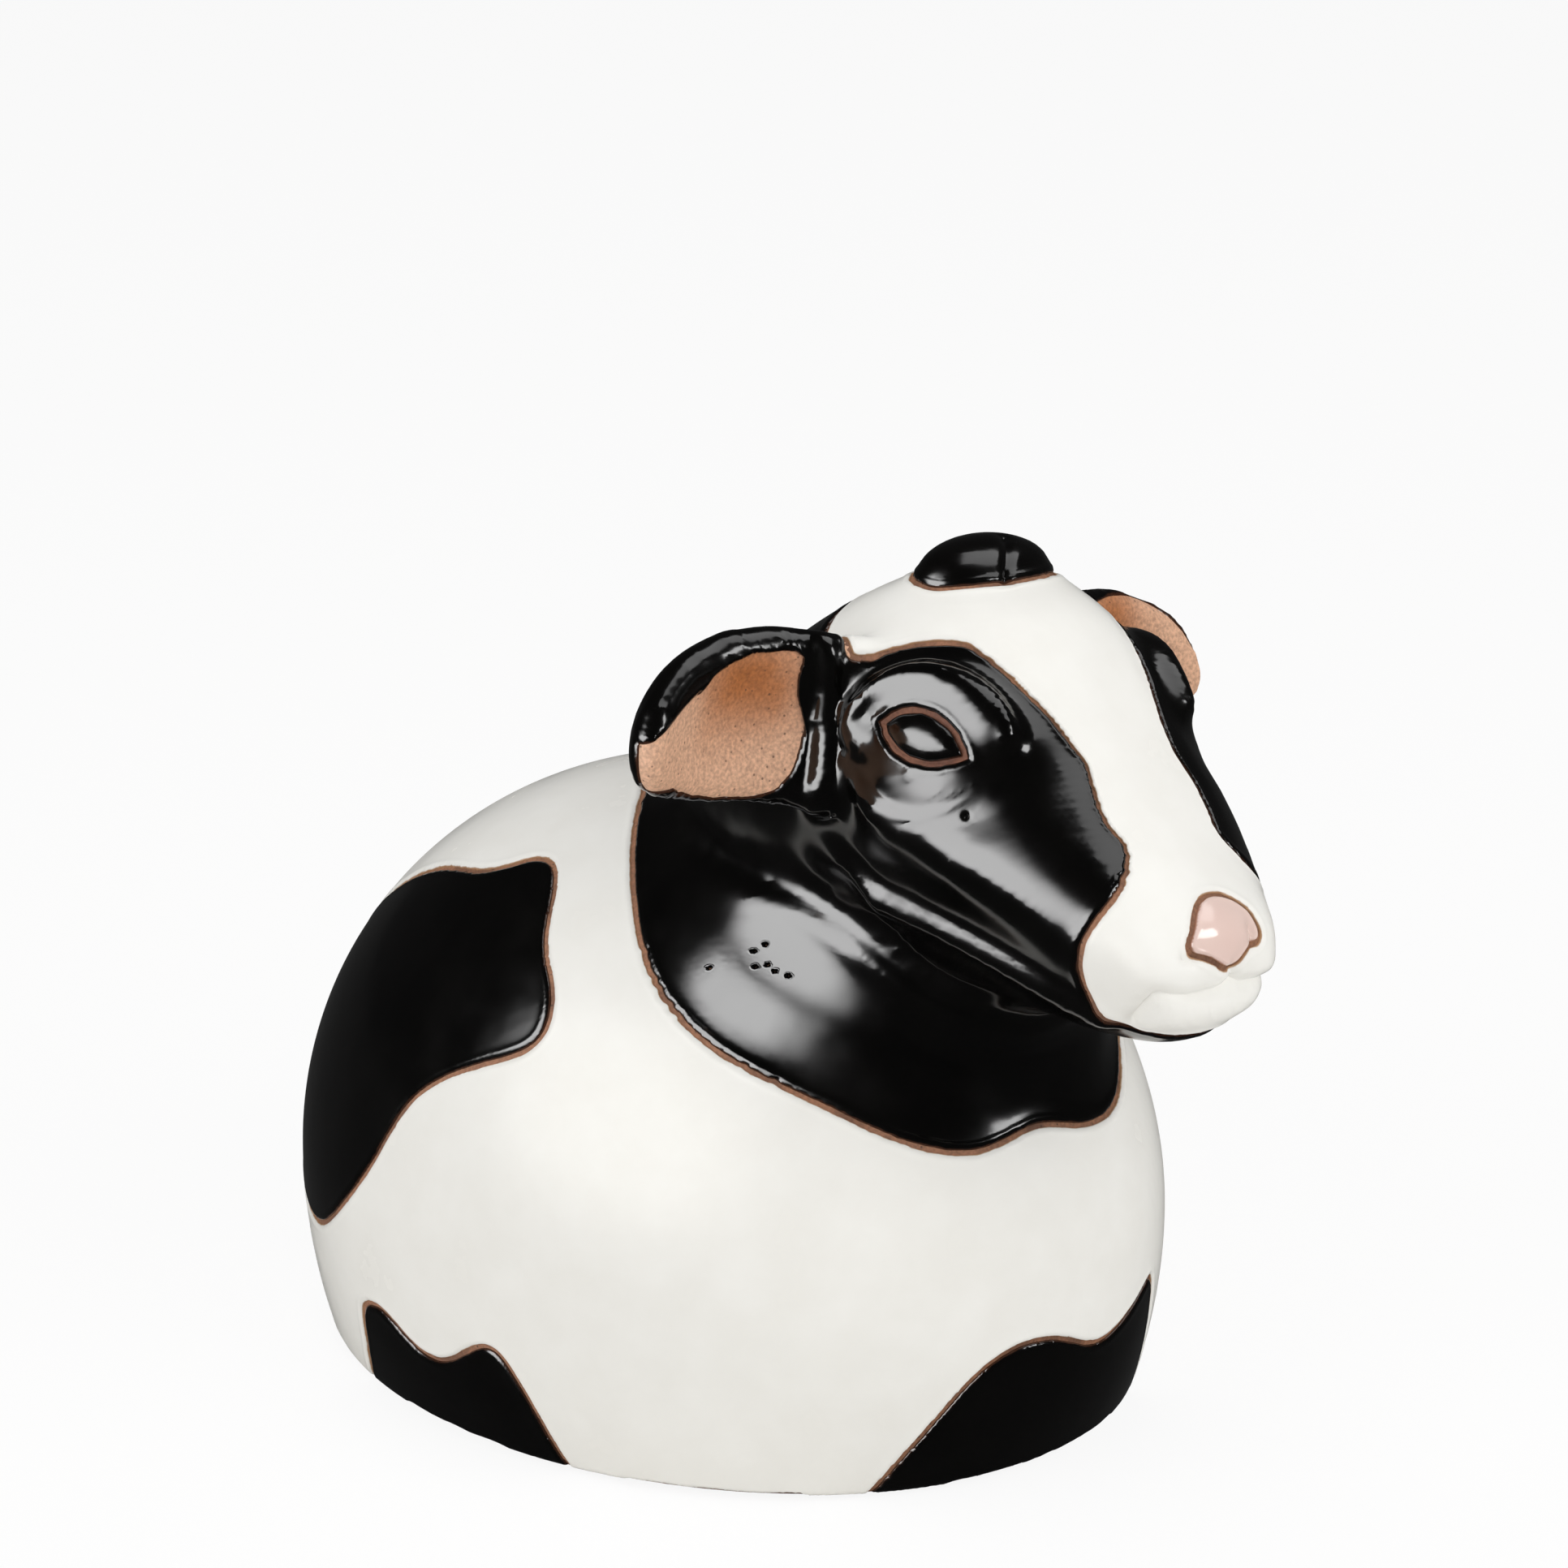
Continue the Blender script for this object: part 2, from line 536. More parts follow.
# %% Strokes
STROKES = [
    # name, width and height in mm, points in the head's frame in mm
    ("jaw ridge", 3.8, 3.0,
     [(7, -37, -21), (18, -33, -30), (30, -32, -32), (44, -30, -34), (60, -27, -38), (76, -21, -43)]),
    ("neck crease", 2.4, -2.0,
     [(12, -34, -28), (18, -30, -35), (25, -25, -43), (35, -18, -49), (46, -13, -52)]),
    ("neck fold", 2.2, 1.3, [(11, -33, -31), (18, -28, -39), (25, -23, -46), (33, -17, -51)]),
    ("neck second crease", 2.0, -0.9, [(12, -32, -35), (19, -26, -43), (27, -20, -50), (34, -12, -55)]),
    ("cheek bone", 11.0, (5.0, 2.6),
     [(25, -38, -9), (36, -38, -11), (48, -36, -15), (60, -33, -20), (72, -29, -27)]),
    ("ear root ridge", 2.4, 1.4, [(8, -46, 25), (6, -42, 14), (7, -42, 1), (10, -46, -12)]),
    ("mouth", 1.6, -1.6,
     [(84, -21, -43), (87, -22.5, -40), (92, -23, -35), (94, -13, -35.5), (94.5, -4, -35), (94.5, 0, -33.5),
      (94.5, 4, -35), (94, 12, -36), (91, 19, -38), (85, 20, -42)]),
    ("upper lip", 3.4, 0.6, [(90, -25, -31), (94, -15, -31), (94.5, -6, -30.5)]),
    ("upper lip left", 3.4, 0.6, [(94.5, 4, -31), (94, 11, -32), (91, 18, -34)]),
    ("lower lip", 3.2, 1.0, [(88, -20, -43), (92, -14, -41), (94, -4, -40), (93, 8, -41), (88, 17, -43)]),
    ("nose pad", 7.0, 1.8, [(95, -6.5, -23), (95, -3.5, -24)]),
    ("philtrum", 1.2, -0.8, [(94.5, 0, -33.5), (95, -2.5, -30)]),
    ("nostril right", 1.3, -1.2, [(93.5, -17, -27), (94.5, -14.5, -27.5)]),
    ("nostril left", 1.3, -1.2, [(95, 4.5, -22.5), (95, 5.5, -25), (95, 4.5, -26)]),
    ("tuft crease", 1.0, -1.0, [(13, 3.5, 46), (18, -1, 43), (22, -5, 38.5)]),
    ("ear dimple", 2.5, -0.8, [(-1, -62, 17), (-0.5, -61, 16)]),
]
BOTH_SIDES = ("jaw ridge", "cheek bone")
STROKES += [(name + " left", width, height, [(x, -y, z) for x, y, z in line])
            for name, width, height, line in STROKES if name in BOTH_SIDES]
print("strokes:", [name for name, width, height, line in STROKES])

# %% [markdown]
# A stroke's few points become a smooth curve, with a place every 0.6 mm, and each place is dropped on the
# skin. A point of the skin then moves by how near it is to a place, so the stroke has soft sides as a
# finger leaves. The skin is refined first under the narrow strokes, which would otherwise be lost between
# its points.

# %% Press the strokes
PLACE_GAP = 0.6
NARROW, NARROW_REACH = 2.6 * MM, 4 * MM
STROKE_REACH, STROKE_ROUNDS = 3.2, 3


def along(line, gap):
    """Places every gap along a smooth curve through the points of a line."""
    line = [Vector(p) for p in line]
    ends = [line[0] * 2 - line[1]] + line + [line[-1] * 2 - line[-2]]
    places = []
    for a, b, c, d in zip(ends, ends[1:], ends[2:], ends[3:]):
        parts = max(2, int((c - b).length / gap))
        for k in range(parts):
            t = k / parts
            bend = (2 * a - 5 * b + 4 * c - d) * t ** 2 + (3 * b - a - 3 * c + d) * t ** 3
            places.append(0.5 * (2 * b + (c - a) * t + bend))
    return places + [line[-1]]


def skin_tree():
    """A search tree of the skin as it is now."""
    return BVHTree.FromPolygons(skin[:, :3].tolist(), faces.tolist())


def dropped(places, tree):
    """Places in the head's frame, in millimetres, dropped on the skin."""
    return [tree.find_nearest(head_frame @ (Vector(place) * MM))[0] for place in places]


def near_places(places, points, reach):
    """The distance of every point to the nearest place, at most the reach, and how far along that is."""
    tree = KDTree(len(places))
    for i, place in enumerate(places):
        tree.insert(place, i)
    tree.balance()
    found, share = np.full(len(points), reach), np.zeros(len(points))
    low, high = np.min(places, axis=0) - reach, np.max(places, axis=0) + reach
    for i in np.flatnonzero(((points > low) & (points < high)).all(1)):
        _, place, apart = tree.find(points[i])
        found[i], share[i] = min(reach, apart), place / len(places)
    return found, share


tree = skin_tree()
drawn = [(name, width * MM, height, dropped(along(line, PLACE_GAP), tree))
         for name, width, height, line in STROKES]
fine = np.zeros(len(skin), dtype=bool)
for name, width, height, places in drawn:
    if width < NARROW:
        fine |= near_places(places, skin[:, :3], 6 * MM)[0] < NARROW_REACH
skin, faces = refine(skin, faces, fine)
points = skin[:, :3]
lift = np.zeros(len(points))
for name, width, height, places in drawn:
    start, end = height if isinstance(height, tuple) else (height, height)
    far, share = near_places(places, points, width * STROKE_REACH)
    lift += (start + (end - start) * share) * MM * np.exp(-(far / width) ** 2)
points = points + skin_normals(points, faces) * lift[:, None]
skin[:, :3] = sponge(points, faces, np.ones(len(points)), STROKE_ROUNDS, keep=True)
print(len(drawn), "strokes, skin now", len(skin), "points,", len(faces), "triangles")

# %% [markdown]
# Where several strokes start at one place they leave a knot, and the neck creases are sharper than wet clay
# can be. Both get a short pass of the sponge, in a spot of a few millimetres and along the creases.

# %% Soften knots and creases
KNOTS = [
    # middle in the head's frame, and where the spot starts and ends to fade, in mm
    ((5, -38, -20), 6, 14),
    ((19, -41, -9), 6, 13),
]
KNOT_ROUNDS, CREASE_ROUNDS = 40, 36

local = in_head(skin[:, :3])
for middle, near, far in KNOTS:
    knot = fade(np.linalg.norm(local - np.array(middle), axis=1), near, far)
    skin[:, :3] = sponge(skin[:, :3], faces, knot, KNOT_ROUNDS)
creases = [place for name, width, height, places in drawn if name.startswith("neck") for place in places]
by_crease = fade(near_places(creases, skin[:, :3], 8 * MM)[0], 3 * MM, 6 * MM)
skin[:, :3] = sponge(skin[:, :3], faces, by_crease, CREASE_ROUNDS)
print("softened", int((by_crease > 0.5).sum()), "points along the neck creases")

# %% [markdown]
# ## Pinholes
# Gas that leaves the clay in the kiln makes small craters. One on the cheek and a group on the bib are
# large enough to be seen, so they are holes in the skin and not only a bump in the material. The skin is
# halved three times there.

# %% Pinholes
PINHOLES = [
    # name, radius and depth in mm, places in the head's frame in mm
    ("cheek crater", 0.7, 1.2, [(45.9, -36.7, -5.1)]),
    ("bib pinholes", 0.28, 0.45,
     [(-15.2, -46.8, -55.5), (-8.6, -38.8, -51.3), (-7, -36.1, -49.6), (-6.7, -40.5, -54), (-4.7, -38.3, -53.2),
      (-2.8, -38, -54.2), (-0.1, -36.2, -54.5)]),
]
HALVINGS, HALVED_WITHIN = 3, 3.5

tree = skin_tree()
for name, radius, depth, line in PINHOLES:
    places = dropped(line, tree)
    for halving in range(HALVINGS):
        wanted = near_places(places, skin[:, :3], 6 * MM)[0] < (HALVED_WITHIN - halving) * MM
        skin, faces = refine(skin, faces, wanted)
    far, _ = near_places(places, skin[:, :3], 6 * MM)
    hole = depth * MM * np.exp(-(far / (radius * MM)) ** 2)
    skin[:, :3] -= skin_normals(skin[:, :3], faces) * hole[:, None]
    print(name, len(places), "of radius", radius, "mm")

# %% [markdown]
# ## Where each glaze lies
# Each CAD coat is a thin shell on the clay. Its edge is where a face that lies on the clay meets one that
# doesn't. Every point of the skin gets a field: its distance in from the edge of a coat, below zero outside
# it. The hood, the bib and the ears are one pour of black glaze, so the edges between those four coats are
# left out. A picture painted on the model could show the same colours, but a field also tells how thick the
# glaze is near its edge.

# %% Coat fields
BLACK_POUR = ["hood_black_glaze", "bib_black_glaze", "ear_right_black_glaze", "ear_left_black_glaze"]
COATS = [BLACK_POUR] + [[name] for name in nodes if name.endswith("_glaze") and name not in BLACK_POUR]
black, white_face, nose = 0, COATS.index(["face_white_glaze"]), COATS.index(["nose_pink_glaze"])
FAR = 18 * MM
ON_CLAY, EDGE_GAP = 0.3 * MM, 0.4 * MM
EARS_MEET, COATS_MEET = 1.2 * MM, 4 * MM
clay_tree = tree_of(*CLAY_NODES)


def coat_edge(name, others):
    """Places along the edge of a coat, leaving out where it meets another coat of the same pour."""
    coat = bmesh.new()
    coat.from_mesh(nodes[name].data)
    bmesh.ops.remove_doubles(coat, verts=coat.verts, dist=1e-6)
    touching = {corner: clay_tree.find_nearest(corner.co)[3] < ON_CLAY for corner in coat.verts}
    on_clay = {face: all(touching[corner] for corner in face.verts) for face in coat.faces}
    places = []
    for edge in coat.edges:
        if len(edge.link_faces) == 2 and on_clay[edge.link_faces[0]] != on_clay[edge.link_faces[1]]:
            a, b = (v.co for v in edge.verts)
            parts = max(1, int((b - a).length / EDGE_GAP))
            places += [a.lerp(b, k / parts) for k in range(parts)]
    coat.free()
    for other in others:
        apart = EARS_MEET if "ear" in name + other else COATS_MEET
        meeting = tree_of(other)
        places = [p for p in places if meeting.find_nearest(p)[3] > apart]
    return places


def along_skin(step, normal):
    """The part of a step that lies along the skin."""
    return step - normal * step.dot(normal)


def coat_field(names, points, out):
    """Distance in from the edge of a pour, in metres, below zero outside it."""
    shell = tree_of(*names)
    places = [p for name in names for p in coat_edge(name, [other for other in names if other != name])]
    edge_tree = KDTree(len(places))
    for i, place in enumerate(places):
        edge_tree.insert(place, i)
    edge_tree.balance()
    field = np.full(len(points), -FAR)
    boxes = [np.array(nodes[name].bound_box) for name in names]
    low = np.min([box.min(0) for box in boxes], axis=0) - FAR
    high = np.max([box.max(0) for box in boxes], axis=0) + FAR
    for i in np.flatnonzero(((points > low) & (points < high)).all(1)):
        place, normal = Vector(points[i]), Vector(out[i])
        hit, _, _, apart = shell.find_nearest(place, FAR)
        if hit is None:
            continue
        aside = along_skin(hit - place, normal).length
        step = edge_tree.find(place)[0] - place
        to_edge = min(FAR, max(along_skin(step, normal).length, step.length * 0.5))
        covered = (aside < 0.25 * MM and apart < 2.5 * MM) or (to_edge > 1.5 * MM and apart < 1.2 * MM)
        field[i] = to_edge if covered else -to_edge
    return field


unjoined = skin[:, 3:6]
fields = np.stack([coat_field(names, unjoined, skin_normals(unjoined, faces)) for names in COATS], axis=1)
close = (np.abs(fields) < 2 * MM).any(1)
skin, faces = refine(np.concatenate([skin, fields], axis=1), faces, close)
points, fields = skin[:, :3], skin[:, 6:].copy()
print(len(COATS), "pours measured on", len(points), "points")

# %% [markdown]
# The bib is thick and swells over the chest below the head, so the skin is filled out there. Whatever the
# sponge pulled under the floor is set flat on it again.

# %% Fill the bib and flatten the foot
BIB_FULL = 2.6 * MM

off_head = distance_to(tree_of("head_shell", "ear_right", "ear_left"), points)
within = fade(-fields[:, black], -17 * MM, 0)
below_head = fade(-off_head, -7 * MM, -1 * MM)
in_front = fade(-points[:, 0], -0.035, -0.010)
full = within * below_head * in_front
points = points + skin_normals(points, faces) * (full * BIB_FULL)[:, None]
points[:, 2] = np.maximum(points[:, 2], 0)
out = skin_normals(points, faces)
local = in_head(points)
print("bib filled on", int((full > 0.5).sum()), "points")

# %% [markdown]
# ## The waver of the edges
# A brush leaves no ruled edge. A slow noise and a fine one say how far the edge of a glaze wanders at each
# place.

# %% Waver
SLOW_WAVE, SLOW_WAVER, FINE_WAVE, FINE_WAVER = 5 * MM, 0.35 * MM, 2 * MM, 0.10 * MM


def wander(place):
    """How far an edge wanders at a place, in metres."""
    place = Vector(place)
    return noise.noise(place / SLOW_WAVE) * SLOW_WAVER + noise.noise(place / FINE_WAVE) * FINE_WAVER


waver = np.zeros(len(points))
close = np.abs(fields).min(1) < 3 * MM
waver[close] = [wander(place) for place in points[close]]
print("edges wander by up to", round(np.abs(waver).max() / MM, 2), "mm")

# %% [markdown]
# A wedge of the white face runs in beside the root of the right ear. It is a bent line with a radius, and
# its distance goes into both fields: white is at least as far in as the wedge says, and black at most as
# far.

# %% White wedge at the ear
WEDGE, WEDGE_RADIUS, WEDGE_REACH = [(-1, -27, 29), (8.5, -38.5, 22), (16, -29, 28)], 3.5, 6 * MM

wedge = np.full(len(points), FAR)
corners = [np.array(p) for p in WEDGE]
for a, b in zip(corners, corners[1:]):
    share = np.clip((local - a) @ (b - a) / ((b - a) @ (b - a)), 0, 1)[:, None]
    wedge = np.minimum(wedge, (np.linalg.norm(local - a - share * (b - a), axis=1) - WEDGE_RADIUS) * MM)
fields[:, white_face] = np.maximum(fields[:, white_face], np.where(wedge < WEDGE_REACH, -wedge, -FAR))
fields[:, black] = np.minimum(fields[:, black], np.where(wedge < WEDGE_REACH, wedge, FAR))
print("white wedge covers", int((wedge < 0).sum()), "points")

# %% [markdown]
# ## Even lines of bare clay
# Two glazes that touch would run together in the kiln, so the potter leaves a line of clay of nearly one
# width. Where two fields meet, the line is the middle between them, divided by the slope of that middle so
# that it is as wide on a steep place as on a flat one. The waver is added to the middle and, more weakly,
# to the width.

# %% Lines between the glazes
LINE = 1.2 * MM
NOSE_SHRINK, NOSE_AT, NOSE_ROUNDS = 1.0 * MM, (95, -5, -24), 140
everywhere = np.ones(len(points))

fields = sponge(fields, faces, everywhere, 5)
at_nose = fade(np.linalg.norm(local - np.array(NOSE_AT), axis=1), 18, 26)
fields = sponge(fields, faces, at_nose, NOSE_ROUNDS)
fields[:, nose] -= NOSE_SHRINK * at_nose
fields[:, white_face] += NOSE_SHRINK * at_nose
order = np.argsort(fields, axis=1)
rows = np.arange(len(points))
first, second = order[:, -1], order[:, -2]
inner, outer = fields[rows, first], fields[rows, second]
shared = fade(-(inner + outer), 12 * MM, 16 * MM)
middle = (inner - outer) / 2
steep = sponge(slope_of(middle, points, faces)[:, None], faces, everywhere, 4)[:, 0]
middle = middle / np.clip(steep, 0.3, 1.2) + waver
line = LINE / 2 + 0.6 * waver
fields[rows, first] = inner + shared * (middle - line - inner) + (1 - shared) * waver
fields[rows, second] = outer + shared * (-middle - line - outer)
fields = list(sponge(fields, faces, everywhere, 2).T)
print("points covered:", {names[0]: int((field > 0).sum()) for names, field in zip(COATS, fields)})

# %% [markdown]
# ## Wiped clay
# Glaze is wiped off where it would stick or isn't wanted. The foot is wiped so that it doesn't stick to the
# kiln shelf. The ears are wiped over the front of their rim: the right one at its tip, the left one all
# round. The cup of an ear is part of a ball, and its front is what lies inside that ball, so a distance
# from the ball's middle finds it.

# %% Wipe the foot and the ears
FOOT_BARE = 1.2 * MM
EAR_MIDDLE, EAR_CUP, RIM_IN = np.array((40.5, -67.5, 8.0)), 48.0, 1.5
TIP_TOP, TIP_SLOPE, TIP_AT, TIP_LOW, TIP_FROM, TIP_SEARCH = 13.5, 0.48, -83.5, -4, -78, -60
LEFT_SHIFT = (0, -10, 3)
LEFT_OUT, LEFT_UP, LEFT_RADIUS, LEFT_FROM, LEFT_SEARCH = -66, -8, 34, -52, -50

fields = [np.minimum(field, points[:, 2] - FOOT_BARE) for field in fields]
front = EAR_CUP - RIM_IN - np.linalg.norm(local - EAR_MIDDLE, axis=1)
side, rise = local[:, 1], local[:, 2]
under_slope = TIP_TOP + TIP_SLOPE * (side - TIP_AT) - rise
tip = np.min([front, under_slope, rise - TIP_LOW, TIP_FROM - side], axis=0)
fields[black] = np.minimum(fields[black], np.where(side < TIP_SEARCH, -tip * MM, FAR))
mirrored = local * (1, -1, 1) + LEFT_SHIFT
front = EAR_CUP - RIM_IN - np.linalg.norm(mirrored - EAR_MIDDLE, axis=1)
side, rise = mirrored[:, 1], mirrored[:, 2]
cup = LEFT_RADIUS - np.hypot(side - LEFT_OUT, rise - LEFT_UP)
left = np.min([front, cup, LEFT_FROM - side], axis=0)
fields[black] = np.minimum(fields[black], np.where(side < LEFT_SEARCH, -left * MM, FAR))
print("wiped:", int((tip > 0).sum()), "points of the right ear,", int((left > 0).sum()), "of the left")

# %% [markdown]
# The black pour stops at the almond of each eye, and a drop of black inside the scratched ring is the
# eyeball.

# %% Eyes in the black pour
EYE_WAVE, EYE_WAVER, EYE_REACH = 2.5 * MM, 0.25 * MM, 6 * MM

for side, eye in eyes.items():
    edge, beside, u, v = almond(points, eye)
    edge[beside] += np.array([noise.noise(Vector(p) / EYE_WAVE) for p in points[beside]]) * EYE_WAVER
    fields[black] = np.where(beside & (edge < EYE_REACH), edge, fields[black])
    fields.append(np.where(beside, -edge - RING_WIDE, -EYE_REACH))
    COATS.append(["eyeball_" + side])
    print(side, "eyeball covers", int((fields[-1] > 0).sum()), "points")

# %% [markdown]
# ## Pouring the glaze
# Glaze is thick and runny, so it ends in a rounded bead and never in a sharp step. Each coat is cut out of
# the skin along its field and pushed out along the normals by a quarter round, plus a low bead where the
# runny edge stopped. A Solidify modifier would give one thickness and a square edge. The distance from the
# edge stays on the mesh, so that a material can let the clay show through a thin rim.

# %% Coats
GLAZE, ROUND = 0.75 * MM, 1.3 * MM
BEAD, BEAD_IN, BEAD_WIDE = 0.12 * MM, 1.1 * MM, 0.8 * MM
EYE_DOME = 1.9 * MM
CUTS = [0, 0.06, 0.2, 0.45, 0.85, 1.3, 2.0]
POUR_ROUNDS = 14


def piece(name, points, faces, normals, rim=None):
    """A smooth mesh object from a part of the skin, with the skin's own normals so that pieces meet unseen."""
    used = np.unique(faces)
    turned = np.full(len(points), -1)
    turned[used] = np.arange(len(used))
    mesh = bpy.data.meshes.new(name)
    mesh.from_pydata(points[used].tolist(), [], turned[faces].tolist())
    mesh.shade_smooth()
    if rim is not None:
        mesh.attributes.new("rim_mm", "FLOAT", "POINT").data.foreach_set("value", rim[used] / MM)
    mesh.normals_split_custom_set_from_vertices(normals[used].tolist())
    made = bpy.data.objects.new(name, mesh)
    bpy.context.collection.objects.link(made)
    return made


def quarter_round(t):
    """A rise from zero to one that starts upright and ends level."""
    return np.sqrt(np.maximum(0, 1 - (1 - t) ** 2))


def poured(field, dome):
    """Cuts a coat out of the skin and raises it. Returns its points, triangles and distances from the edge."""
    table = np.concatenate([points, out, field[:, None]], axis=1)
    part = faces[(field > -2.5 * MM)[faces].any(1)]
    for level in CUTS:
        table, part = cut(table, part, 6, level * MM)
    part = part[(table[part, 6] >= -1e-9).all(1)]
    depth = table[:, 6]
    t = np.clip(depth / ROUND, 0, 1)
    raise_by = GLAZE * quarter_round(t) + BEAD * np.exp(-((depth - BEAD_IN) / BEAD_WIDE) ** 2) * t
    if dome:
        raise_by = dome * quarter_round(np.clip(depth / depth[np.unique(part)].max(), 0, 1))
    normal = table[:, 3:6] / np.linalg.norm(table[:, 3:6], axis=1, keepdims=True)
    raised = table[:, :3] + normal * raise_by[:, None]
    raised = sponge(raised, part, fade(-depth, -0.5 * MM, -0.1 * MM), POUR_ROUNDS, keep=True)
    return raised, part, depth


def nearest_node(names, places):
    """For each place, which of the named CAD nodes lies nearest."""
    return np.stack([distance_to(tree_of(name), places, 0.02) for name in names]).argmin(0)


pieces = {}
for names, field in zip(COATS, fields):
    raised, part, depth = poured(field, EYE_DOME if names[0].startswith("eyeball") else 0)
    normals = skin_normals(raised, part)
    owner = nearest_node(names, raised[part].mean(1)) if len(names) > 1 else np.zeros(len(part), dtype=int)
    for k, name in enumerate(names):
        pieces[name] = piece(name + "_poured", raised, part[owner == k], normals, depth)
        print(name, len(pieces[name].data.polygons), "triangles")

# %% [markdown]
# ## The clay pieces
# The whole skin stays as clay under the glaze, since that is what shows in the lines, on the ears and at
# the foot. It is shared out again to the CAD pieces it came from, each triangle to the nearest, with the
# rings of the lids found by the almond. The eyeballs are glaze only.

# %% Clay pieces
LID_RING_OUT = 1.0 * MM

clay_names = [name for name in CLAY_NODES if not name.startswith("eyeball")]
middles = points[faces].mean(1)
owner = nearest_node([name for name in clay_names if not name.startswith("eyelid")], middles)
for side, eye in eyes.items():
    edge, beside, u, v = almond(middles, eye)
    owner[beside & (edge < LID_RING_OUT)] = clay_names.index("eyelid_" + side)
for k, name in enumerate(clay_names):
    pieces[name] = piece(name + "_clay", points, faces[owner == k], out)
    print(name, len(pieces[name].data.polygons), "triangles")

# %% [markdown]
# ## Glazed earthenware
# A glaze is coloured glass melted on the clay. Its index of refraction is about 1.5 and it is nearly mirror
# smooth, with a slow waviness from the pour and rare pinholes. To the eye that gives sharp highlights that
# bend a little. The colour is mottled in clouds of 14 mm, and at a thin rim the red clay shows through,
# ragged at 2.5 mm.

# %% Glaze
GLAZE_IOR = 1.5
CLOUD, RAGGED, POUR_WAVE, PIT_APART, PIT_DEEP = 14 * MM, 2.5 * MM, 11 * MM, 9 * MM, 0.5 * MM


def glaze(name, colour, mottle, rim_colour, rim_wide, rough, waves, pits):
    """Glazed earthenware. The rim and the waves are in millimetres, and pits is the share of cells with one."""
    made = bpy.data.materials.new(name)
    made.use_nodes = True
    tree = made.node_tree
    shader = tree.nodes["Principled BSDF"]
    place = add(tree, "ShaderNodeTexCoord").outputs["Object"]

    rim = add(tree, "ShaderNodeAttribute", attribute_name="rim_mm").outputs["Fac"]
    ragged = add(tree, "ShaderNodeTexNoise", {"Vector": place, "Scale": 1 / RAGGED, "Detail": 3.0})
    shifted = add(tree, "ShaderNodeMath", {0: ragged.outputs[0], 1: -rim_wide * 1.2, 2: rim},
                  operation="MULTIPLY_ADD")
    thin = add(tree, "ShaderNodeMapRange",
               {0: shifted.outputs[0], 1: -rim_wide * 0.4, 2: rim_wide * 0.5, 3: 1.0, 4: 0.0},
               interpolation_type="SMOOTHSTEP")
    cloud = add(tree, "ShaderNodeTexNoise", {"Vector": place, "Scale": 1 / CLOUD, "Detail": 4.0})
    tone = add(tree, "ShaderNodeMix", {0: cloud.outputs[0], 6: srgb(colour), 7: srgb(mottle)}, data_type="RGBA")
    paint = add(tree, "ShaderNodeMix", {0: thin.outputs[0], 6: tone.outputs[2], 7: srgb(rim_colour)},
                data_type="RGBA")
    tree.links.new(paint.outputs[2], shader.inputs["Base Color"])

    satin = add(tree, "ShaderNodeMapRange",
                {0: cloud.outputs[0], 1: 0.3, 2: 0.7, 3: rough * 0.7, 4: rough * 1.3})
    tree.links.new(satin.outputs[0], shader.inputs["Roughness"])
    shader.inputs["IOR"].default_value = GLAZE_IOR

    slow = add(tree, "ShaderNodeTexNoise", {"Vector": place, "Scale": 1 / POUR_WAVE, "Detail": 1.0})
    wavy = add(tree, "ShaderNodeBump", {"Height": slow.outputs[0], "Strength": 1.0, "Distance": waves * MM})
    cells = add(tree, "ShaderNodeTexVoronoi", {"Vector": place, "Scale": 1 / PIT_APART, "Randomness": 1.0})
    rare = add(tree, "ShaderNodeMath", {0: cells.outputs["Color"], 1: 1 - pits}, operation="GREATER_THAN")
    hole = add(tree, "ShaderNodeMapRange", {0: cells.outputs["Distance"], 1: 0.03, 2: 0.08, 3: 1.0, 4: 0.0},
               interpolation_type="SMOOTHSTEP")
    pin = add(tree, "ShaderNodeMath", {0: rare.outputs[0], 1: hole.outputs[0]}, operation="MULTIPLY")
    pitted = add(tree, "ShaderNodeBump",
                 {"Height": pin.outputs[0], "Normal": wavy.outputs[0], "Distance": PIT_DEEP}, invert=True)
    tree.links.new(pitted.outputs[0], shader.inputs["Normal"])
    return made


print("glaze with an index of refraction of", GLAZE_IOR)

# %% [markdown]
# There are three glazes. The black is deep and only brown where it is thin, as glazes coloured by iron are.
# The white is opaque and a little warm, and the pink on the nose is like the white with a stain in it. In
# the photograph the whites are nearly burnt out, so mirror shine on top of them would hide the round of the
# ball, and the white has less of it.

# %% Black, white and pink glaze
WHITE_SHINE = 0.08

black_glaze = glaze("black_glazed_earthenware", "#020202", "#070605", "#3A2216", 0.4, 0.15, 0.10, 0.05)
white_glaze = glaze("white_glazed_earthenware", "#F1F0EB", "#E6E4DD", "#B08A68", 0.3, 0.22, 0.12, 0.02)
pink_glaze = glaze("pink_glazed_earthenware", "#E4CDC3", "#DFC2B8", "#A87C66", 0.5, 0.10, 0.05, 0.0)
white_glaze.node_tree.nodes["Principled BSDF"].inputs["Specular IOR Level"].default_value = WHITE_SHINE
print("glazes:", [made.name for made in (black_glaze, white_glaze, pink_glaze)])

# %% [markdown]
# ## Bare fired clay
# Fired clay is matt and full of grog, which is crushed pottery of about half a millimetre, mixed in for
# strength. To the eye that is a fine grain with some dark specks of iron. It is drawn at 0.8 mm, a little
# coarser than it is, so that it shows. Where the clay was wiped it is redder, and where it was scraped it
# is paler.

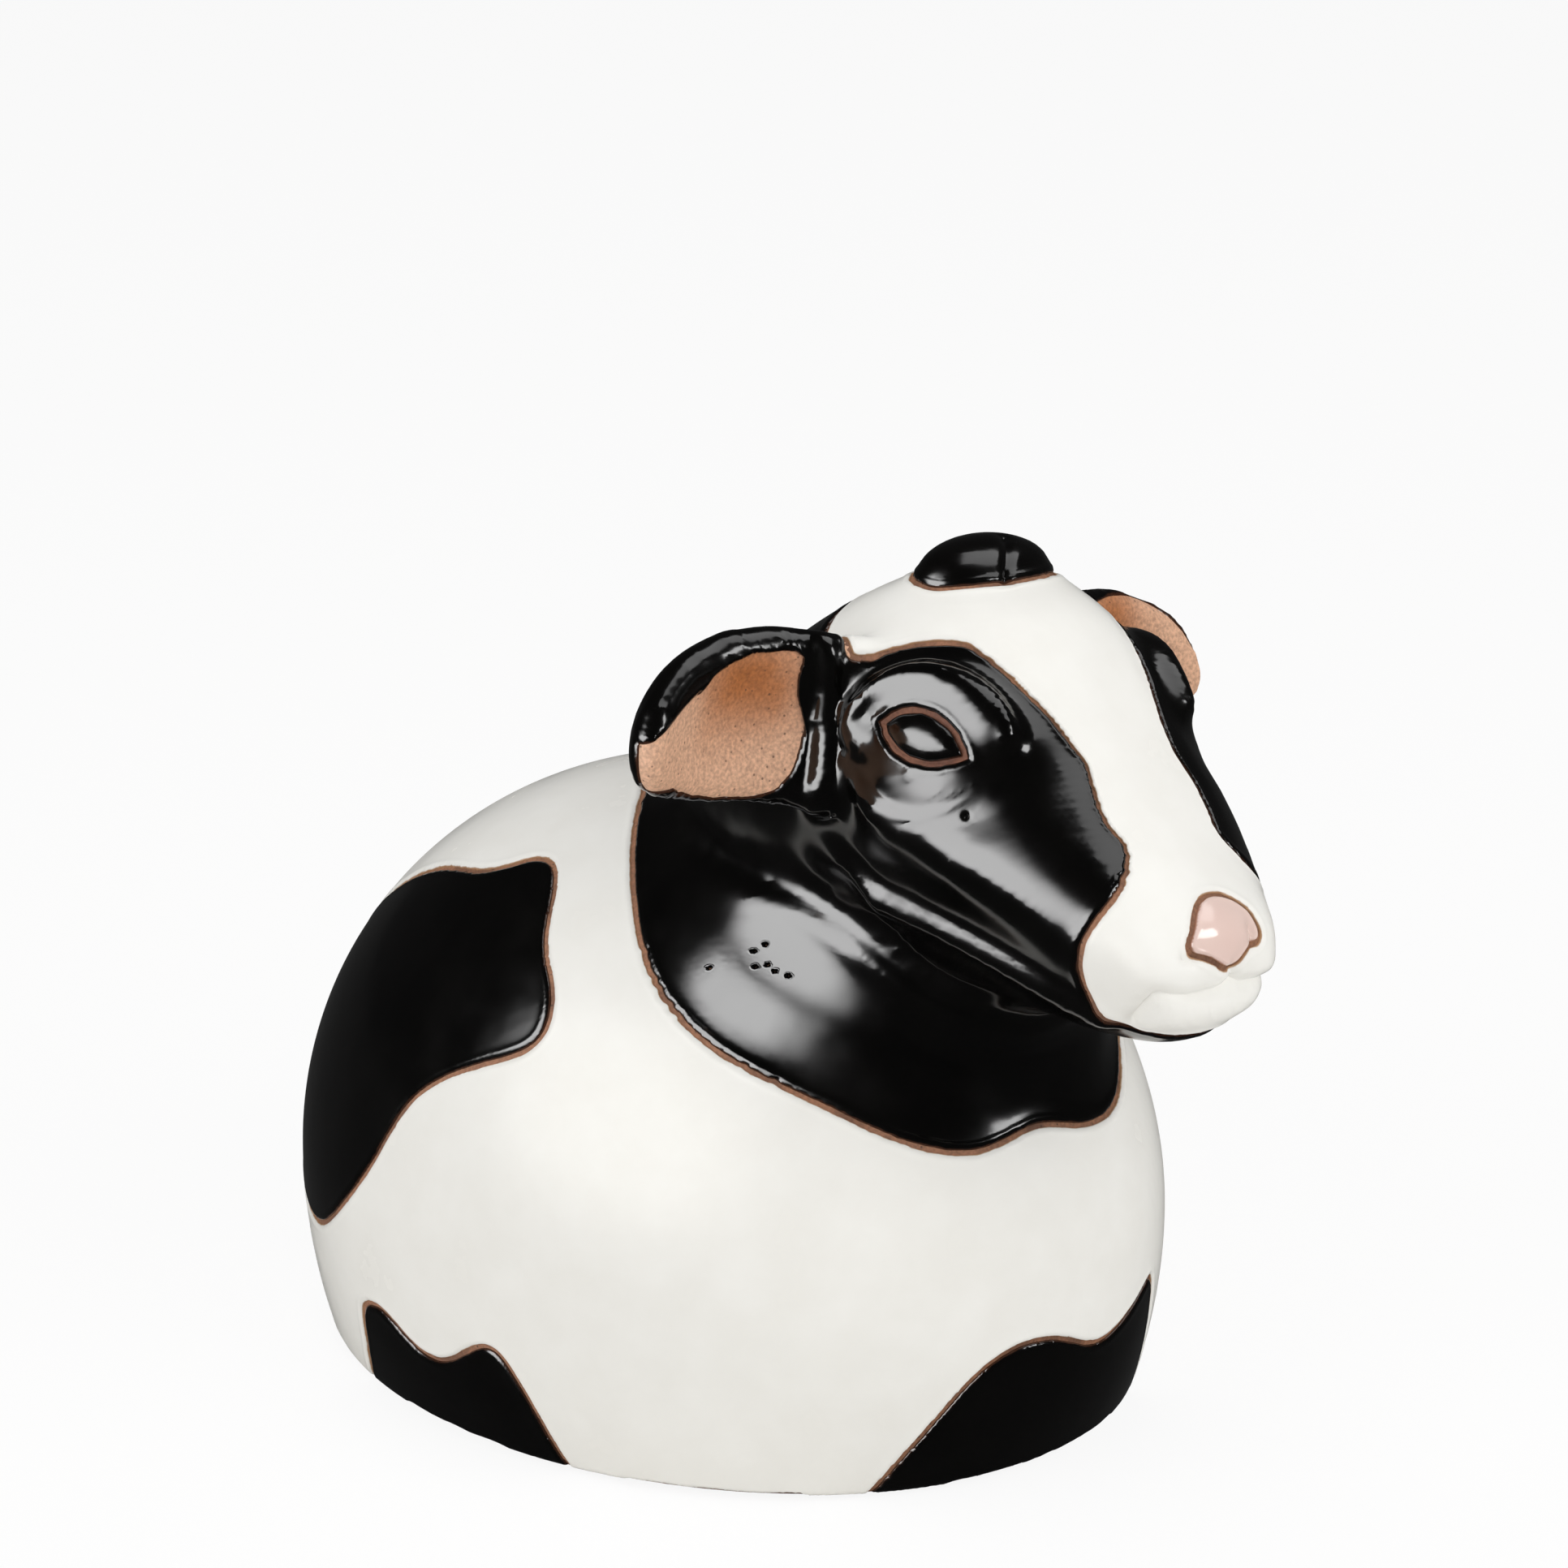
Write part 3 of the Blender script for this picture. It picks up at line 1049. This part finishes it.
# %% Bare clay
CLAY_CLOUD, GROG, IRON_APART, GROG_DEEP, CLAY_ROUGH = 16 * MM, 0.8 * MM, 1.6 * MM, 0.25 * MM, 0.75
RUB_FULL, RUB_GONE, RUB_RAGGED = 10 * MM, 30 * MM, 14 * MM


def bare_clay(name, pale, red, iron_colour, rubbed_at=()):
    """Bare fired clay, redder in clouds or, where two rubbed places are given in metres, round those."""
    made = bpy.data.materials.new(name)
    made.use_nodes = True
    tree = made.node_tree
    shader = tree.nodes["Principled BSDF"]
    place = add(tree, "ShaderNodeTexCoord").outputs["Object"]

    cloud = add(tree, "ShaderNodeTexNoise", {"Vector": place, "Scale": 1 / CLAY_CLOUD, "Detail": 3.0})
    zone = {0: cloud.outputs[0], 1: 0.42, 2: 0.62, 3: 0.0, 4: 1.0}
    if rubbed_at:
        near = [add(tree, "ShaderNodeVectorMath", {0: place, 1: middle}, operation="DISTANCE").outputs["Value"]
                for middle in rubbed_at]
        nearest = add(tree, "ShaderNodeMath", {0: near[0], 1: near[1]}, operation="MINIMUM")
        rubbed = add(tree, "ShaderNodeMath", {0: cloud.outputs[0], 1: RUB_RAGGED, 2: nearest.outputs[0]},
                     operation="MULTIPLY_ADD")
        zone = {0: rubbed.outputs[0], 1: RUB_FULL, 2: RUB_GONE, 3: 1.0, 4: 0.0}
    redder = add(tree, "ShaderNodeMapRange", zone, interpolation_type="SMOOTHSTEP")
    ground = add(tree, "ShaderNodeMix", {0: redder.outputs[0], 6: srgb(pale), 7: srgb(red)}, data_type="RGBA")

    grog = add(tree, "ShaderNodeTexNoise", {"Vector": place, "Scale": 1 / GROG, "Detail": 2.0})
    grain = add(tree, "ShaderNodeMapRange", {0: grog.outputs[0], 1: 0.3, 2: 0.7, 3: 0.72, 4: 1.22})
    grained = add(tree, "ShaderNodeVectorMath", {0: ground.outputs[2], "Scale": grain.outputs[0]},
                  operation="SCALE")
    iron = add(tree, "ShaderNodeTexVoronoi", {"Vector": place, "Scale": 1 / IRON_APART})
    some = add(tree, "ShaderNodeMath", {0: iron.outputs["Color"], 1: 0.62}, operation="GREATER_THAN")
    spot = add(tree, "ShaderNodeMapRange", {0: iron.outputs["Distance"], 1: 0.12, 2: 0.22, 3: 0.75, 4: 0.0})
    speck = add(tree, "ShaderNodeMath", {0: some.outputs[0], 1: spot.outputs[0]}, operation="MULTIPLY")
    paint = add(tree, "ShaderNodeMix", {0: speck.outputs[0], 6: grained.outputs[0], 7: srgb(iron_colour)},
                data_type="RGBA")
    tree.links.new(paint.outputs[2], shader.inputs["Base Color"])

    shader.inputs["Roughness"].default_value = CLAY_ROUGH
    bump = add(tree, "ShaderNodeBump", {"Height": grog.outputs[0], "Strength": 0.8, "Distance": GROG_DEEP})
    tree.links.new(bump.outputs[0], shader.inputs["Normal"])
    return made


EARS_RUBBED = ((1, -62, 18), (1, 52, 15))
rubbed_at = [tuple(head_frame @ (Vector(p) * MM)) for p in EARS_RUBBED]
ear_clay = bare_clay("bare_fired_red_clay", "#CFA283", "#A4622F", "#4A2E1E", rubbed_at)
line_clay = bare_clay("bare_clay_line", "#8A5E42", "#6A4630", "#24150D")
lid_clay = bare_clay("scratched_clay_lid", "#70452F", "#563222", "#1C100A")
print("clays:", [made.name for made in (ear_clay, line_clay, lid_clay)])

# %% [markdown]
# ## Handing over
# Every piece gets its finish and stands in for its CAD node. Nothing on a pot moves, so they all ride on
# the one body. The roots of the ears, hidden by glaze but for the lines, take the darker clay of the lines.

# %% Give every piece its finish and its place in the part
EAR_ROOT = 0.041


def finish_of(name):
    """The material of a piece."""
    if name.endswith("_glaze"):
        return black_glaze if "black" in name else white_glaze if "white" in name else pink_glaze
    if name.startswith("eyeball"):
        return black_glaze
    return ear_clay if name.startswith("ear") else lid_clay if name.startswith("eyelid") else line_clay


for name, made in pieces.items():
    made.data.materials.append(finish_of(name))
    if name in ("ear_right", "ear_left"):
        made.data.materials.append(line_clay)
        for face in made.data.polygons:
            face.material_index = int(abs((head_frame.inverted() @ face.center).y) < EAR_ROOT)
    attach(made, "root")
    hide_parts(name)
bpy.context.view_layer.update()
